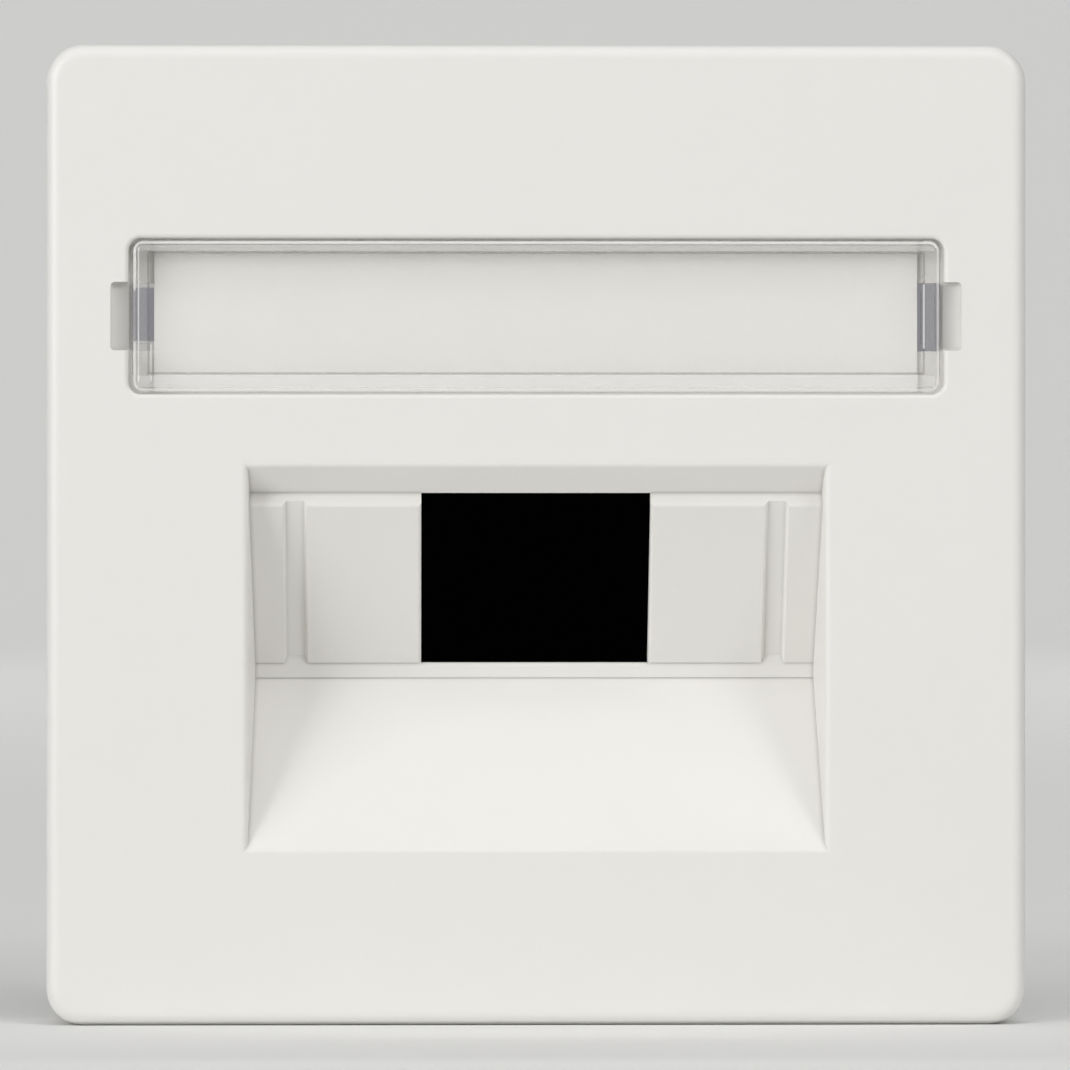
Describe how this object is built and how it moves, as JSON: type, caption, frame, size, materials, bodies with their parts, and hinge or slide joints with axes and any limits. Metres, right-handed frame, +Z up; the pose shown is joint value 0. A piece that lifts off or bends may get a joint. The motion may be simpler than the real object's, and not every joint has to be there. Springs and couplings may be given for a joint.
{
  "type": "keystone faceplate",
  "caption": "Square outlet cover plate with a tilted niche for a modular jack, a clear snap-in label window over a paper card, and snap legs behind.",
  "frame": {"origin": "centre of the plane of the rear rim, where the plate seats on its support frame", "axes": "the face looks towards -Y, +X is to the right seen from the front, +Z is up"},
  "size_m": [0.063, 0.013, 0.063],
  "materials": {
    "white_plastic": "satin warm white moulding with a fine even surface",
    "clear_plastic": "clear polished lid",
    "card": "blank matt card"
  },
  "bodies": {
    "cover": {"cover_plate": "white_plastic", "label_card": "card"},
    "window": {"label_window": "clear_plastic"}
  },
  "joints": [
    {"name": "window_slide", "type": "slide", "parent": "cover", "child": "window", "axis": [0, -1, 0], "range_m": [0, 0.012]}
  ]
}
